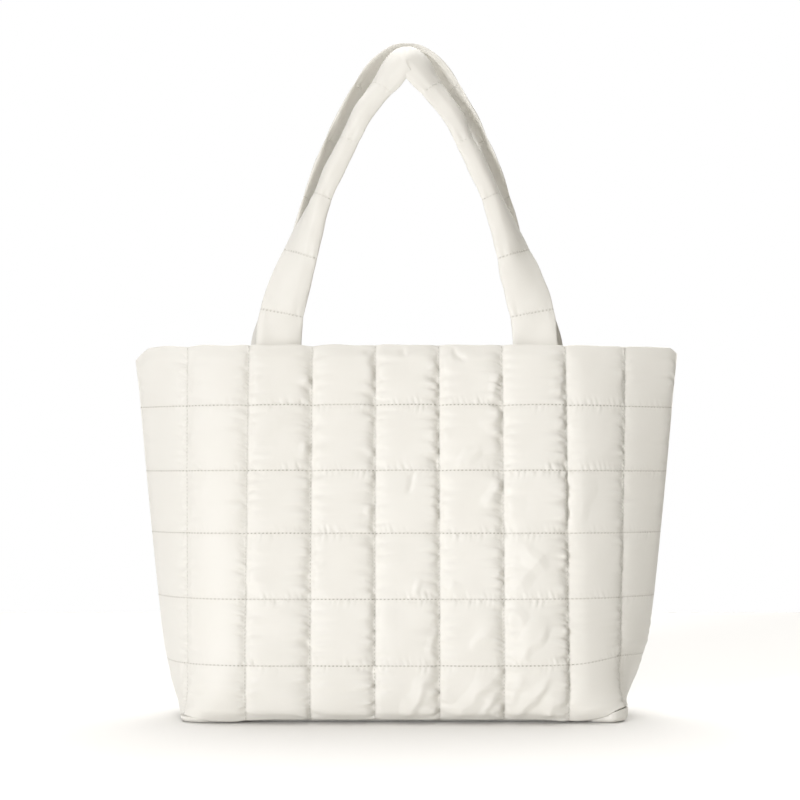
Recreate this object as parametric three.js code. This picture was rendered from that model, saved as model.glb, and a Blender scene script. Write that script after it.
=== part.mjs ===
// A quilted, padded tote bag that stands on its base with both shoulder straps up.
// Units are millimetres. +X is the bag's right as seen from the front, +Y its back, +Z up.
// The origin is on the floor, under the middle of the bag.
import * as THREE from "three";

// Driving dimensions of the quilting and the body.
const QUILT_PITCH = 51; // width of one quilted square
const PANEL_COLUMNS = 9; // squares across one panel, from side seam to side seam
const ROW_HEIGHTS = [48.5, 52.5, 50, 52, 52, 46]; // squares of one column, from the rim down
const SEAM_THICKNESS = 2.2; // padded wall where it is stitched through
const SIDE_SEAM_THICKNESS = 1.6;
const PUFF_HEIGHT = 6.5; // how far the middle of a square stands above its stitching
const SIDE_PUFF_SHARE = 0.55; // of that, in the flatter squares beside a side seam
const RIM_FULLNESS = 0.35; // share of the puff that is left at the folded rim
const PUFF_ROUNDNESS = 0.6; // lower is squarer
const GAP = 0.4; // clearance between pieces that are sewn together

// How far each half of a panel turns towards the side seam, in degrees, by height.
const RIM_TURN = 28; // at the rim, where the mouth is a flat lens
const BODY_TURN = 43.8; // added from the rim to the floor
const BODY_EASE = 0.85; // below 1 adds more of it near the rim
const CORNER_TURN = 16.2; // added close to the floor, where the base squares the bag up
const CORNER_SHARPNESS = 12; // higher keeps that closer to the floor
// The stretch of the panel that turns, in squares from the middle of the panel.
const TURN_START = 2.3;
const TURN_END = 4.15;
const CORNER_TURN_START = 3.15; // the same at the floor
const CORNER_TURN_END = 3.8;

// The lower edge of a panel rises off the floor at the corners of the base.
const EDGE_CLEARANCE = 0.5;
const CORNER_LIFT = 5;
const LIFT_START = 2.6; // in squares from the middle of the panel
const LIFT_END = 3.5;

const BASE_THICKNESS = 8;
const BASE_BEVEL = 2;
const BASE_CLEARANCE = 0.7; // from the inner faces of the panels

// The straps are cut from the same padded cloth and sewn behind the rim.
const STRAP_WIDTH = 35;
const STRAP_PUFF = 5.4; // thickness in the middle of a padded length
const STRAP_SEAM = 2.6; // thickness at a cross stitch
const STRAP_TAIL_THICKNESS = 3; // inside the rim
const STRAP_TAIL = 24; // length inside the rim
const TAIL_CLEARANCE = 1.1; // from the inner face of its panel
const LEG_TWIST_LENGTH = 150; // length above the rim over which a leg turns about its own line and folds
const STRAPS_MEET = 135; // height above the rim at which the two straps have come together
const CROWN_LENGTH = 60; // the length before the crown over which it turns back
const FIRST_CROSS_STITCH = 27; // above the rim
const STRAP_SQUARENESS = 0.5; // of its flat section: 1 is an ellipse, lower is squarer

// One half of each strap's middle line, from the rim to the crown.
// out is the distance from the middle of the bag, up the height above the rim.
const STRAPS = [
  {
    name: "front_strap",
    side: -1,
    crownDepth: 19, // the crown's distance from the middle of the bag
    turnFrom: 10, // height above the rim at which a leg starts to turn and fold
    fold: 0.3, // place of the fold along a leg, from -1 at the outer edge to 1 at the inner one
    legTwist: 50, // degrees that a leg turns about its own line
    crownTwist: 33, // what is left of that turn at the crown
    legFold: 45, // degrees that each side of the fold turns away from the middle
    crownFold: 26, // what is left of the fold at the crown
    line: [
      { out: 104, up: 0 },
      { out: 102, up: 24 },
      { out: 94, up: 59 },
      { out: 78, up: 101 },
      { out: 56, up: 147 },
      { out: 31, up: 197 },
      { out: 16, up: 218 },
      { out: 0, up: 236 },
    ],
  },
  {
    name: "back_strap",
    side: 1,
    crownDepth: 18,
    turnFrom: 0,
    fold: 0,
    legTwist: 70,
    crownTwist: 60,
    legFold: 0,
    crownFold: 0,
    line: [
      { out: 113, up: 0 },
      { out: 105, up: 24 },
      { out: 94, up: 59 },
      { out: 83.5, up: 101 },
      { out: 70, up: 147 },
      { out: 46, up: 197 },
      { out: 24, up: 231 },
      { out: 8, up: 243 },
      { out: 0, up: 244 },
    ],
  },
];

// Fineness of the faceted walls.
const STEPS_PER_SQUARE = 4;
const TURN_SAMPLES = 12; // integration steps for each step across a panel
const STRAP_STEP = 10.2; // along a strap, a whole share of a square
const STRAP_SIDES = 8;

const RIM_HEIGHT = ROW_HEIGHTS.reduce((sum, height) => sum + height, 0);
const HALF_PANEL = (PANEL_COLUMNS * QUILT_PITCH) / 2;

const shellCloth = new THREE.MeshStandardMaterial({ color: 0xece8de, roughness: 0.55, metalness: 0 });
const baseCloth = new THREE.MeshStandardMaterial({ color: 0xe6e2d8, roughness: 0.6, metalness: 0 });
const strapCloth = new THREE.MeshStandardMaterial({ color: 0xe9e5db, roughness: 0.55, metalness: 0 });

const radians = THREE.MathUtils.degToRad;
const smoothstep = THREE.MathUtils.smoothstep;
const lerp = THREE.MathUtils.lerp;

// How near the floor a height is: 0 for most of the wall and 1 at the floor.
function cornerShare(height) {
  return Math.pow(1 - height / RIM_HEIGHT, CORNER_SHARPNESS);
}

// The direction of a panel at an arc length from its middle.
// It is 0 along the front and nears a quarter turn along the side, low down.
function turnAt(arc, height) {
  const corner = cornerShare(height);
  const start = lerp(TURN_START, CORNER_TURN_START, corner) * QUILT_PITCH;
  const end = lerp(TURN_END, CORNER_TURN_END, corner) * QUILT_PITCH;
  const belowRim = Math.pow(1 - height / RIM_HEIGHT, BODY_EASE);
  const whole = RIM_TURN + BODY_TURN * belowRim + CORNER_TURN * corner;
  return radians(whole) * smoothstep(arc, start, end);
}

// Half of a panel's inner face at one height: points at even arc lengths, from the middle to the side seam.
// out is a point's distance from the middle, and deep its distance from the side seam's plane.
function halfWallLine(height, steps) {
  const stride = HALF_PANEL / steps / TURN_SAMPLES;
  const points = [{ out: 0, run: 0, turn: 0 }];
  let out = 0;
  let run = 0;
  for (let i = 1; i <= steps * TURN_SAMPLES; i++) {
    const middle = turnAt((i - 0.5) * stride, height);
    out += stride * Math.cos(middle);
    run += stride * Math.sin(middle);
    if (i % TURN_SAMPLES === 0) points.push({ out, run, turn: turnAt(i * stride, height) });
  }
  return points.map((point) => ({ out: point.out, deep: run - point.run, turn: point.turn }));
}

// How full a square is along one of its sides, from 0 at a seam to 1 in the middle.
function fullness(share) {
  return Math.pow(Math.sin(Math.PI * share), PUFF_ROUNDNESS);
}

// Thickness of the padded wall in one square, by the shares across and down it.
function wallThickness(across, down, isTopRow, isSideColumn) {
  const rim = isTopRow ? RIM_FULLNESS * Math.max(0, 1 - 2 * down) : 0;
  const puff = PUFF_HEIGHT * (isSideColumn ? SIDE_PUFF_SHARE : 1);
  return SEAM_THICKNESS + puff * fullness(across) * Math.max(fullness(down), rim);
}

// A closed wall between two grids of points, outer[row][column] over inner[row][column].
function wallGeometry(outer, inner) {
  const rows = outer.length;
  const columns = outer[0].length;
  const points = [...outer.flat(), ...inner.flat()];
  const innerStart = rows * columns;
  const faces = [];
  const quad = (a, b, c, d) => faces.push(a, b, c, a, c, d);
  for (let r = 0; r + 1 < rows; r++) {
    for (let c = 0; c + 1 < columns; c++) {
      const a = r * columns + c;
      const below = a + columns;
      quad(a, below, below + 1, a + 1);
      quad(innerStart + a, innerStart + a + 1, innerStart + below + 1, innerStart + below);
    }
  }
  const border = [];
  for (let c = 0; c + 1 < columns; c++) border.push(c);
  for (let r = 0; r + 1 < rows; r++) border.push(r * columns + columns - 1);
  for (let c = columns - 1; c > 0; c--) border.push((rows - 1) * columns + c);
  for (let r = rows - 1; r > 0; r--) border.push(r * columns);
  border.forEach((from, i) => {
    const to = border[(i + 1) % border.length];
    quad(from, to, innerStart + to, innerStart + from);
  });
  return new THREE.BufferGeometry().setFromPoints(points).setIndex(faces);
}

// Heights of the grid's rows, with each one's quilted row and its share down that row.
function panelHeights() {
  const heights = [];
  let top = RIM_HEIGHT;
  ROW_HEIGHTS.forEach((tall, row) => {
    const last = row === ROW_HEIGHTS.length - 1;
    for (let i = 0; i < STEPS_PER_SQUARE + (last ? 1 : 0); i++) {
      const down = i / STEPS_PER_SQUARE;
      heights.push({ height: top - tall * down, down, isTopRow: row === 0 });
    }
    top -= tall;
  });
  return heights;
}

// The lower edge of a panel, which the wall's lowest row rises to.
function edgeHeight(arc) {
  const lift = smoothstep(arc, LIFT_START * QUILT_PITCH, LIFT_END * QUILT_PITCH);
  return EDGE_CLEARANCE + CORNER_LIFT * lift;
}

// A quilted panel from side seam to side seam. side is -1 for the front and 1 for the back.
function makePanel(name, side) {
  const half = (PANEL_COLUMNS * STEPS_PER_SQUARE) / 2;
  const outer = [];
  const inner = [];
  for (const { height, down, isTopRow } of panelHeights()) {
    const line = halfWallLine(height, half);
    const outerRow = [];
    const innerRow = [];
    for (let c = -half; c <= half; c++) {
      const { out, deep, turn } = line[Math.abs(c)];
      const across = ((c + half) % STEPS_PER_SQUARE) / STEPS_PER_SQUARE;
      const atSideSeam = Math.abs(c) === half;
      const isSideColumn = Math.abs(c) > half - STEPS_PER_SQUARE;
      const padded = wallThickness(across, down, isTopRow, isSideColumn);
      const thick = atSideSeam ? SIDE_SEAM_THICKNESS : padded;
      const hand = Math.sign(c) * -side; // the panel's own right, seen from outside it
      const z = Math.max(height, edgeHeight((Math.abs(c) / half) * HALF_PANEL));
      const x = hand * out;
      const y = side * (deep + GAP / 2);
      const outward = new THREE.Vector3(hand * Math.sin(turn), side * Math.cos(turn), 0);
      const point = new THREE.Vector3(x, y, z);
      innerRow.push(point);
      outerRow.push(point.clone().addScaledVector(outward, thick));
    }
    outer.push(outerRow);
    inner.push(innerRow);
  }
  const panel = new THREE.Mesh(wallGeometry(outer, inner), shellCloth);
  panel.name = name;
  return panel;
}

// The padded base, a flat sheet that fits inside the panels' lower edges.
function makeBase() {
  const quarter = halfWallLine(0, (PANEL_COLUMNS * STEPS_PER_SQUARE) / 2).slice(1);
  const inset = BASE_CLEARANCE + BASE_BEVEL;
  const corner = quarter.map(({ out, deep, turn }) => {
    return new THREE.Vector2(out - inset * Math.sin(turn), deep - inset * Math.cos(turn));
  });
  const backCorner = corner.slice(0, -1).reverse();
  const right = [...corner, ...backCorner.map((p) => new THREE.Vector2(p.x, -p.y))];
  const left = right.map((p) => new THREE.Vector2(-p.x, -p.y));
  const outline = new THREE.Shape([...right, ...left].reverse());
  const geometry = new THREE.ExtrudeGeometry(outline, {
    depth: BASE_THICKNESS - 2 * BASE_BEVEL,
    bevelEnabled: true,
    bevelThickness: BASE_BEVEL,
    bevelSize: BASE_BEVEL,
    bevelSegments: 1,
    steps: 1,
  });
  geometry.translate(0, 0, BASE_BEVEL);
  const base = new THREE.Mesh(geometry, baseCloth);
  base.name = "base_panel";
  return base;
}

// A strap's middle line from the end of one tail over the crown to the end of the other.
function strapCurve({ side, crownDepth, line }) {
  const clear = TAIL_CLEARANCE + STRAP_TAIL_THICKNESS / 2;
  const wallDepth = (height) => halfWallLine(height, PANEL_COLUMNS)[0].deep + GAP / 2 - clear;
  const rimDepth = wallDepth(RIM_HEIGHT);
  const tail = { out: line[0].out, up: -STRAP_TAIL };
  const leg = [tail, ...line].map(({ out, up }) => {
    const height = RIM_HEIGHT + up;
    const deep = up < 0 ? wallDepth(height) : lerp(rimDepth, crownDepth, smoothstep(up, 0, STRAPS_MEET));
    return new THREE.Vector3(-out, side * deep, height);
  });
  const returning = leg.slice(0, -1).reverse();
  const otherLeg = returning.map((p) => new THREE.Vector3(-p.x, p.y, p.z));
  return new THREE.CatmullRomCurve3([...leg, ...otherLeg]);
}

// Thickness of a strap at a length above the rim: full between cross stitches, thin at them and in the tail.
function strapThickness(aboveRim) {
  if (aboveRim <= 0) return STRAP_TAIL_THICKNESS;
  const share = (aboveRim - FIRST_CROSS_STITCH + QUILT_PITCH) / QUILT_PITCH;
  const full = lerp(STRAP_SEAM, STRAP_PUFF, fullness(share - Math.floor(share)));
  return lerp(STRAP_TAIL_THICKNESS, full, smoothstep(aboveRim, 0, FIRST_CROSS_STITCH / 2));
}

// An angle that grows from 0 at the rim to its value on a leg, and changes again to the crown's, in radians.
function strapAngle(aboveRim, crownLength, turnFrom, onLeg, atCrown) {
  const turned = smoothstep(aboveRim, turnFrom, LEG_TWIST_LENGTH);
  const back = smoothstep(aboveRim, crownLength - CROWN_LENGTH, crownLength);
  return radians(onLeg * turned + (atCrown - onLeg) * back);
}

// A place across a strap's section, from -1 at the outer edge to 1 at the inner one.
// The section is two flat flanges that meet at the fold; inward and deep are measured from the fold.
function foldedPlace(across, fold, twist, foldAngle) {
  const slope = twist - foldAngle * Math.sign(across - fold);
  const reach = ((across - fold) * STRAP_WIDTH) / 2;
  return { slope, inward: Math.cos(slope) * reach, deep: Math.sin(slope) * reach };
}

// A padded strap: a section carried along the middle line, turning about it and folding towards the crown.
function makeStrap(strap) {
  const curve = strapCurve(strap);
  const length = curve.getLength();
  const crownLength = length / 2 - STRAP_TAIL;
  const steps = Math.round(length / STRAP_STEP);
  const rings = [];
  for (let i = 0; i <= steps; i++) {
    const along = i / steps;
    const middle = curve.getPointAt(along);
    const tangent = curve.getTangentAt(along);
    const inward = new THREE.Vector3(tangent.z, 0, -tangent.x).normalize();
    const aboveRim = Math.min(along, 1 - along) * length - STRAP_TAIL;
    const twist = strapAngle(aboveRim, crownLength, strap.turnFrom, strap.legTwist, strap.crownTwist);
    const foldAngle = strapAngle(aboveRim, crownLength, strap.turnFrom, strap.legFold, strap.crownFold);
    const inner = foldedPlace(1, strap.fold, twist, foldAngle).inward;
    const outer = Math.min(0, foldedPlace(-1, strap.fold, twist, foldAngle).inward);
    const middleShift = (inner + outer) / 2; // keeps the section's seen width on the middle line
    const thick = strapThickness(aboveRim);
    const ring = [];
    for (let k = 0; k < STRAP_SIDES; k++) {
      const angle = (2 * Math.PI * k) / STRAP_SIDES;
      const level = Math.abs(Math.cos(angle)) < 0.01;
      const wide = Math.sign(Math.cos(angle)) * Math.pow(Math.abs(Math.cos(angle)), STRAP_SQUARENESS);
      const place = foldedPlace(level ? strap.fold : wide, strap.fold, twist, foldAngle);
      const across = inward.clone().multiplyScalar(Math.cos(place.slope));
      across.y += strap.side * Math.sin(place.slope);
      const normal = new THREE.Vector3().crossVectors(tangent, across).normalize();
      const point = middle.clone().addScaledVector(inward, place.inward - middleShift);
      point.y += strap.side * place.deep; // the outer edge turns towards the other strap
      ring.push(point.addScaledVector(normal, (Math.sin(angle) * thick) / 2));
    }
    rings.push(ring);
  }
  const mesh = new THREE.Mesh(tubeGeometry(rings), strapCloth);
  mesh.name = strap.name;
  return mesh;
}

// A closed tube through rings of points, with a flat cap at each end.
function tubeGeometry(rings) {
  const sides = rings[0].length;
  const points = rings.flat();
  const last = (rings.length - 1) * sides;
  const faces = [];
  for (let r = 0; r + 1 < rings.length; r++) {
    for (let k = 0; k < sides; k++) {
      const a = r * sides + k;
      const b = r * sides + ((k + 1) % sides);
      faces.push(a, b, b + sides, a, b + sides, a + sides);
    }
  }
  for (let k = 1; k + 1 < sides; k++) {
    faces.push(0, k + 1, k, last, last + k, last + k + 1);
  }
  return new THREE.BufferGeometry().setFromPoints(points).setIndex(faces);
}

const bag = new THREE.Group();
bag.add(makePanel("front_panel", -1), makePanel("back_panel", 1), makeBase());
STRAPS.forEach((strap) => bag.add(makeStrap(strap)));

export default bag;
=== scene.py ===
# Quilted tote: two padded walls, a base and two straps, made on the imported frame
import math

import bpy
import numpy as np
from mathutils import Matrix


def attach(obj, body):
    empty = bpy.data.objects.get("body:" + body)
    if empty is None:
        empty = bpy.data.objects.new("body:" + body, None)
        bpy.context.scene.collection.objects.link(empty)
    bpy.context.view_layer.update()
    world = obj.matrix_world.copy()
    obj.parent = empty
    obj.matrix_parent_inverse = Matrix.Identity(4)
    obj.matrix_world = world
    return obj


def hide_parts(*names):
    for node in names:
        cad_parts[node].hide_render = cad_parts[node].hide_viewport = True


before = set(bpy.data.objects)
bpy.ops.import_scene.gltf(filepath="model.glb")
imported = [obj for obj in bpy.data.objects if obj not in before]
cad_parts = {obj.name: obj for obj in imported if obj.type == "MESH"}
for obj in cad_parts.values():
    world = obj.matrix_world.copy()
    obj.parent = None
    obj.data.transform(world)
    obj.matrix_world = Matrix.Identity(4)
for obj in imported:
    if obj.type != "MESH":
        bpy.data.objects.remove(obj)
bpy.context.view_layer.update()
scene = bpy.context.scene
print("frame loaded")


# Puts a new object with this data into the scene
def addObject(name, data):
    thing = bpy.data.objects.new(name, data)
    scene.collection.objects.link(thing)
    return thing


# Camera: level with the quilting, tilted up a little to take in the straps
viewpoint = {
    "place": (-0.0056, -1.558, 0.212),
    "lens": 85.0,  # mm
    "sensor": 36.0,  # mm
    "farthest": 60.0,
    "tiltUp": 1.67,  # degrees
}
cameraData = bpy.data.cameras.new("camera")
cameraData.lens = viewpoint["lens"]
cameraData.sensor_width = viewpoint["sensor"]
cameraData.clip_end = viewpoint["farthest"]
camera = addObject("camera", cameraData)
camera.location = viewpoint["place"]
camera.rotation_euler = (math.radians(90 + viewpoint["tiltUp"]), 0, 0)
scene.camera = camera
print("camera placed")


# 0 at low, 1 at high, and a smooth S between them
def ease(x, low, high):
    t = np.clip((x - low) / (high - low), 0, 1)
    return t * t * (3 - 2 * t)


# Sum of sine waves of about one length in random directions, with a spread of about 1
def ripple(rng, x, y, length, count=14):
    angle = rng.random(count) * 2 * np.pi
    rate = 2 * np.pi / length * (0.65 + 0.7 * rng.random(count))
    phase = rng.random(count) * 2 * np.pi
    wave = np.sin(x[..., None] * rate * np.cos(angle) + y[..., None] * rate * np.sin(angle) + phase)
    return wave.sum(-1) * math.sqrt(2 / count)


# Ripples of a height and a length
def uneven(rng, shape, x, y):
    return shape[0] * ripple(rng, x, y, shape[1])


# Vectors brought to length 1
def unit(vectors):
    return vectors / np.linalg.norm(vectors, axis=-1, keepdims=True)


# Sums of a row's values so far, from 0
def runningSum(rows):
    return np.concatenate([np.zeros((len(rows), 1)), np.cumsum(rows, 1)], 1)


# Length along a line of points, from 0 at the first
def runLength(points):
    return np.concatenate([[0], np.cumsum(np.linalg.norm(np.diff(points, axis=0), axis=-1))])


# Vertex numbers of every square of a grid, facing out where rows go down and columns go right
def gridQuads(rows, columns, loopRows=False, loopColumns=False):
    r0, c0 = np.meshgrid(
        np.arange(rows if loopRows else rows - 1),
        np.arange(columns if loopColumns else columns - 1),
        indexing="ij",
    )
    r1 = (r0 + 1) % rows
    c1 = (c0 + 1) % columns
    corners = [r0 * columns + c0, r1 * columns + c0, r1 * columns + c1, r0 * columns + c1]
    return np.stack(corners, -1).reshape(-1, 4)


# Triangles that close the first and last ring of a grid, each fan round one of two points after the grid's
def endFans(rows, columns):
    here = np.arange(columns)
    there = (here + 1) % columns
    first = np.stack([there, here, np.full(columns, rows * columns)], -1)
    last = np.stack([here, there, np.full(columns, rows * columns + 1)], -1)
    last[:, :2] += (rows - 1) * columns
    return np.concatenate([first, last])


# Puts whole arrays into a new mesh object that rides on the bag
def makePiece(name, points, quads, tris=None, cornerUv=None, marks=None, material=None):
    points = np.asarray(points, np.float32).reshape(-1, 3)
    quads = np.asarray(quads, np.int32).reshape(-1, 4)
    tris = np.zeros((0, 3), np.int32) if tris is None else np.asarray(tris, np.int32).reshape(-1, 3)
    corners = np.concatenate([quads.ravel(), tris.ravel()])
    sizes = np.concatenate([np.full(len(quads), 4), np.full(len(tris), 3)])
    starts = np.concatenate([[0], np.cumsum(sizes)[:-1]]).astype(np.int32)
    mesh = bpy.data.meshes.new(name)
    mesh.vertices.add(len(points))
    mesh.vertices.foreach_set("co", points.ravel())
    mesh.loops.add(len(corners))
    mesh.loops.foreach_set("vertex_index", corners)
    mesh.polygons.add(len(sizes))
    mesh.polygons.foreach_set("loop_start", starts)
    mesh.update(calc_edges=True)
    mesh.polygons.foreach_set("use_smooth", np.ones(len(sizes), bool))
    if cornerUv is not None:
        layer = mesh.uv_layers.new(name="cloth")
        layer.data.foreach_set("uv", np.asarray(cornerUv, np.float32).ravel())
    for mark, values in (marks or {}).items():
        attribute = mesh.attributes.new(mark, "FLOAT", "POINT")
        attribute.data.foreach_set("value", np.asarray(values, np.float32).ravel())
    if material:
        mesh.materials.append(material)
    piece = addObject(name, mesh)
    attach(piece, "root")
    return piece


# Walls: where they stand, in metres and degrees. Pairs without a note are for the left and right side
wall = {
    "pitch": 0.051,  # one quilted square
    "columns": 9,
    "rows": (0.0485, 0.0525, 0.050, 0.052, 0.052, 0.046),  # from the rim down
    # turn towards the side: at the rim, more down the body, and more again at the base corner
    "rimTurn": 28.0,
    "bodyTurn": (43.8, 41.3),
    "bodyEase": 0.85,
    "cornerTurn": (16.2, 18.7),
    "cornerSharpness": 12,
    # where the turn starts and ends, in squares from the middle: in the body, and at the base corner
    "turnFrom": ((2.2, 3.15), (1.3, 3.15)),
    "turnTo": ((4.2, 3.8), (4.6, 3.8)),
    # depth of the wall's middle at heights above the floor
    "depthHeights": (0, 0.010, 0.020, 0.030, 0.046, 0.060, 0.100, 0.150, 0.200, 0.250, 0.301),
    "depths": (0.0555, 0.0602, 0.0623, 0.0631, 0.0630, 0.0622, 0.0589, 0.0537, 0.0477, 0.0406, 0.0309),
    "gap": 0.0004,  # between the two walls at the side seams
    # lower edge: its least height, and the rise of its middle with the height at which that ends
    "edgeClearance": 0.0005,
    "edgeRise": 0.0042,
    "edgeRiseEnds": 0.03,
    "edgeRiseSpan": (2.0, 3.2),  # squares from the middle
    # lower corners: lift and the height at which it ends, and how far they are pushed in
    "cornerLift": (0.005, 0.011),
    "liftEnds": (0.03, 0.10),
    "liftSpan": (2.5, 3.6),  # squares from the middle
    "liftBend": 1.2,
    "cornerTuck": (0.002, 0.0080),
    "tuckEnds": 0.055,
    "tuckSpan": (2.8, 4.0),  # squares from the middle
    # rim: drop at the corners and the length over which it falls, waves, and dents at the column seams
    "cornerDrop": (0.010, 0.0045),
    "dropLength": (0.015, 0.008),
    "dropBend": 1.3,
    "rimWave": (0.00025, 0.035),  # height and length
    "rimScallop": (0.0004, 0.005),  # depth and reach
    "rimBand": 0.045,  # all three die away this far below the rim
}
pitch = wall["pitch"]
rimHeight = sum(wall["rows"])
halfWidth = wall["columns"] * pitch / 2
tableArcs = np.linspace(0, halfWidth, 461)
tableHeights = np.linspace(0, rimHeight, 151)


# Turn of the wall from facing front to facing sideways: grows towards the side seam and down the wall
def wallTurn(arc, height, hand):
    below = np.clip(1 - height / rimHeight, 0, 1)
    corner = below ** wall["cornerSharpness"]
    places = (wall["turnFrom"][hand], wall["turnTo"][hand])
    low, high = [(body + (end - body) * corner) * pitch for body, end in places]
    most = wall["rimTurn"] + wall["bodyTurn"][hand] * below ** wall["bodyEase"]
    most = most + wall["cornerTurn"][hand] * corner
    return np.radians(most) * ease(arc, low, high)


# Running sums of the turn's cosine and sine give how far out and how deep each point of the wall is
def wallTables(hand):
    middles = (tableArcs[1:] + tableArcs[:-1]) / 2
    turn = wallTurn(middles[None, :], tableHeights[:, None], hand)
    step = tableArcs[1] - tableArcs[0]
    run = runningSum(np.sin(turn)) * step
    deep = run[:, -1:] - run
    packed = np.interp(tableHeights, wall["depthHeights"], wall["depths"])
    return runningSum(np.cos(turn)) * step, deep * (packed / deep[:, 0])[:, None]


leftOut, leftDeep = wallTables(0)
rightOut, rightDeep = wallTables(1)


# Value between the four nearest entries of a table of heights by arcs
def lookUp(table, arc, height):
    a = np.clip(np.abs(arc) / (tableArcs[1] - tableArcs[0]), 0, table.shape[1] - 1.001)
    h = np.clip(height / (tableHeights[1] - tableHeights[0]), 0, table.shape[0] - 1.001)
    a0 = a.astype(int)
    h0 = h.astype(int)
    upper = (1 - a + a0) * table[h0, a0] + (a - a0) * table[h0, a0 + 1]
    lower = (1 - a + a0) * table[h0 + 1, a0] + (a - a0) * table[h0 + 1, a0 + 1]
    return (1 - h + h0) * upper + (h - h0) * lower


# The wall's left or right value at each point
def bySide(right, key):
    return np.where(right, wall[key][1], wall[key][0])


# 0 in the wall's middle and 1 at its sides, rising over a span given in squares
def towardsSides(arc, span):
    return ease(np.abs(arc), span[0] * pitch, span[1] * pitch)


# Falls evenly from 1 at the floor to 0 at a height
def nearFloor(height, ends):
    return np.clip(1 - height / ends, 0, 1)


# Rise of the wall: its lower edge arches and lifts at the corners, and its rim drops at them and waves
def wallRise(arc, height, side):
    right = -side * arc > 0
    lift = bySide(right, "cornerLift") * towardsSides(arc, wall["liftSpan"])
    lift = lift * nearFloor(height, bySide(right, "liftEnds")) ** wall["liftBend"]
    fall = np.clip(1 - (halfWidth - np.abs(arc)) / bySide(right, "dropLength"), 0, 1)
    drop = bySide(right, "cornerDrop") * fall ** wall["dropBend"]
    squares = arc / pitch + wall["columns"] / 2
    toSeam = (squares - np.round(squares)) * pitch
    wave = uneven(np.random.default_rng(3), wall["rimWave"], arc, side + 0 * arc)
    dent, dentReach = wall["rimScallop"]
    scallop = dent * np.exp(-((toSeam / dentReach) ** 2))
    top = ease(height, rimHeight - wall["rimBand"], rimHeight)
    arch = wall["edgeRise"] * (1 - towardsSides(arc, wall["edgeRiseSpan"]))
    arch = arch * nearFloor(height, wall["edgeRiseEnds"])
    return wall["edgeClearance"] + arch + lift + (wave - scallop - drop) * top


# Inner face of a wall at an arc and a height. side is -1 in front and 1 behind
def wallPoints(arc, height, side):
    right = -side * arc > 0
    tuck = bySide(right, "cornerTuck") * towardsSides(arc, wall["tuckSpan"])
    tuck = tuck * nearFloor(height, wall["tuckEnds"])
    out = np.where(right, lookUp(rightOut, arc, height), lookUp(leftOut, arc, height)) - tuck
    out = np.sign(arc) * out
    deep = np.where(right, lookUp(rightDeep, arc, height), lookUp(leftDeep, arc, height)) + wall["gap"] / 2
    return np.stack([-side * out, side * deep, height + wallRise(arc, height, side)], -1)


# Unit normal of a grid of points, out of the face whose rows go down and columns go right
def gridNormals(points):
    down = np.gradient(points, axis=0)
    right = np.gradient(points, axis=1)
    return unit(np.cross(down, right))


# Quilting: cloth cut as pillows, stitched along a grid and blown up by the wadding. Lengths are in squares
quilting = {
    "steps": 40,  # grid steps in a square
    "full": 1.010,  # cloth between seams, as a share of the seam's length
    "crown": 0.12,  # height of the cut pillow
    "startCrown": 0.7,  # share of that height at the start
    "startRipple": (0.0015, 0.4),  # unevenness at the start: height and length
    "flatness": 0.5,
    "frames": 7,
    "uneven": 0.008,  # how unevenly the cloth was fed under the needle
    "unevenWaves": ((1.3, 1.0), (0.5, 0.5)),  # length and share of its waves
    # how far the row seams, the rim and the lower edge stand above the column seams
    "rowRise": 0.035,
    "rimRise": 0.025,
    "baseRise": 0.012,
    "archFlatness": 0.8,
    "settings": {
        "quality": 5,
        "mass": 0.004,
        "tension_stiffness": 20,
        "compression_stiffness": 20,
        "shear_stiffness": 8,
        "bending_stiffness": 0.0006,
        "tension_damping": 5,
        "compression_damping": 5,
        "shear_damping": 5,
        "bending_damping": 0.5,
        "air_damping": 2,
        "use_pressure": True,
        "uniform_pressure_force": 2.0,
    },
}
rowEdges = np.concatenate([[0], np.cumsum(wall["rows"])]) / pitch


# Grid of a panel in squares: place across, place down, and place down with every row counted as 1
def quiltGrid():
    steps = quilting["steps"]
    across = np.arange(wall["columns"] * steps + 1) / steps
    rowSteps = np.arange(len(wall["rows"]) * steps + 1) / steps
    down = np.interp(rowSteps, np.arange(len(rowEdges)), rowEdges)
    across, down = np.meshgrid(across, down)
    return across, down, rowSteps[:, None] + 0 * across


# Height that the row seams are held at: an arch between column seams
def seamRise(across, row):
    rise = np.full(row.shape, quilting["rowRise"])
    rise = np.where(row == 0, quilting["rimRise"], rise)
    rise = np.where(row == len(wall["rows"]), quilting["baseRise"], rise)
    return rise * np.abs(np.sin(np.pi * across)) ** quilting["archFlatness"]


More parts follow.
